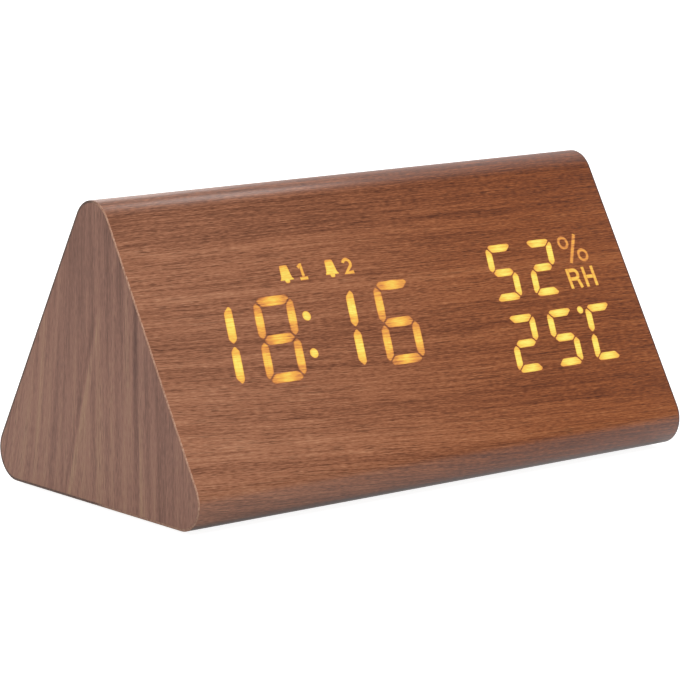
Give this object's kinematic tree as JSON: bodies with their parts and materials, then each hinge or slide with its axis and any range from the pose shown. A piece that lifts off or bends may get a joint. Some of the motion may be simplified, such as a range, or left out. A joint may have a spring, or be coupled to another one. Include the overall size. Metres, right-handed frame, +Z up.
{
  "type": "digital alarm clock",
  "caption": "Three-sided wood-grain desk alarm clock with a lit segment display on its sloping front and buttons, power inlet and a hinged battery door at the rear.",
  "frame": {"origin": "on the floor under the middle of the case", "axes": "+X along the ridge to the display's right, -Y towards the viewer of the display, +Z up"},
  "size_m": [0.15, 0.0798, 0.0719],
  "materials": {
    "wood_film": "satin printed walnut film",
    "end_film": "satin printed walnut film with upright grain",
    "fibreboard": "raw fibreboard",
    "lit_segment": "film lit from behind in warm yellow",
    "reflector": "moulded white plastic",
    "lens": "cast milky resin",
    "circuit_board": "solder mask on glass-fibre board",
    "led": "clear resin over phosphor",
    "steel": "plated steel",
    "black_plastic": "fine-textured moulded plastic",
    "white_plastic": "moulded plastic",
    "cable": "flat ribbon insulation",
    "red_lead": "wire insulation",
    "cell": "plain printed sleeve on a steel can",
    "rubber": "soft moulded rubber"
  },
  "bodies": {
    "case": {"veneer_wrap": "wood_film", "left_end_veneer": "end_film", "right_end_veneer": "end_film", "case_sleeve": "fibreboard", "left_end_panel": "fibreboard", "right_end_panel": "fibreboard", "rubber_feet": "rubber", "time_windows": "lit_segment", "humidity_windows": "lit_segment", "temperature_windows": "lit_segment", "display_reflector": "reflector", "segment_lenses": "lens", "display_board": "circuit_board", "display_leds": "led", "display_screws": "steel", "ribbon_cable": "cable", "ribbon_plugs": "white_plastic", "rear_panel": "black_plastic", "panel_screws": "steel", "control_board": "circuit_board", "board_screws": "steel", "control_chip": "black_plastic", "quartz_crystal": "steel", "smoothing_capacitor": "black_plastic", "switch_housings": "black_plastic", "usb_shell": "steel", "usb_tongue": "black_plastic", "alarm_buzzer": "black_plastic", "humidity_sensor": "white_plastic", "battery_cells": "cell", "battery_springs": "steel", "contact_plates": "steel", "battery_leads": "red_lead"},
    "battery_door": {"battery_door": "black_plastic"},
    "set_button": {"set_button": "black_plastic", "set_plunger": "black_plastic"},
    "up_button": {"up_button": "black_plastic", "up_plunger": "black_plastic"},
    "down_button": {"down_button": "black_plastic", "down_plunger": "black_plastic"}
  },
  "joints": [
    {"name": "door_swing", "type": "hinge", "parent": "case", "child": "battery_door", "pos_m": [0.0195, 0.03111, 0.02225], "axis": [-1, 0, 0], "range_deg": [0, 90]},
    {"name": "set_press", "type": "slide", "parent": "case", "child": "set_button", "axis": [0, -0.866, -0.5], "range_m": [0, 0.0005], "stiffness_N_per_m": 1500},
    {"name": "up_press", "type": "slide", "parent": "case", "child": "up_button", "axis": [0, -0.866, -0.5], "range_m": [0, 0.0005], "stiffness_N_per_m": 1500},
    {"name": "down_press", "type": "slide", "parent": "case", "child": "down_button", "axis": [0, -0.866, -0.5], "range_m": [0, 0.0005], "stiffness_N_per_m": 1500}
  ]
}
